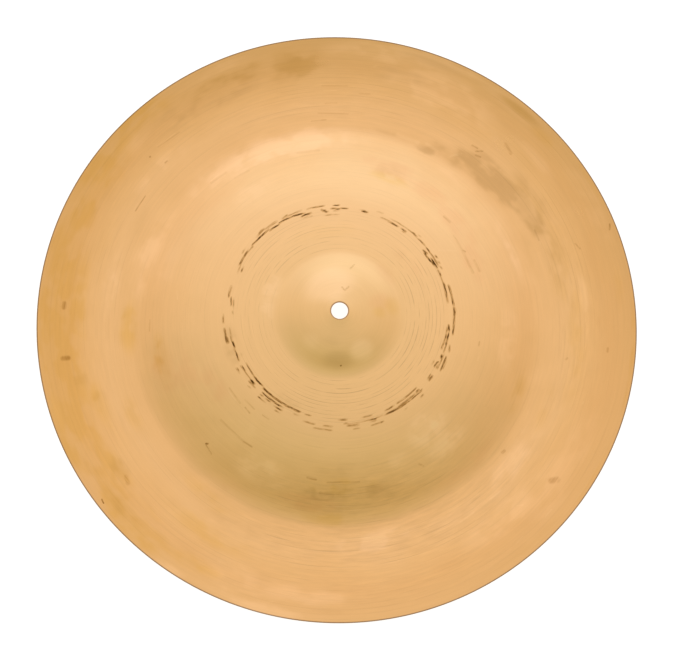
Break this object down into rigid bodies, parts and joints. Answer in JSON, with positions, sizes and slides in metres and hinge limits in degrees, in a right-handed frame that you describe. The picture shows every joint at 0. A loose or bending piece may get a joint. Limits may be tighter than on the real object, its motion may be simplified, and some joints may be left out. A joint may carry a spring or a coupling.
{
  "type": "china cymbal",
  "caption": "Round bronze china cymbal with a central bore, a domed bell, a bow that falls to a knee and a wide upturned flange, struck with a stick.",
  "frame": {"origin": "on the axis of the bore, in the plane that the cymbal lies on with its bell up, which the underside of the knee touches", "axes": "+Z along the axis of the bore, out through the top of the bell; X and Y are any two directions across the disc, because it is turned, and the picture is taken from the -Y side"},
  "size_m": [0.4572, 0.4572, 0.0441],
  "materials": {
    "bronze": "satin"
  },
  "bodies": {
    "root": {"cymbal": "bronze"}
  },
  "joints": []
}
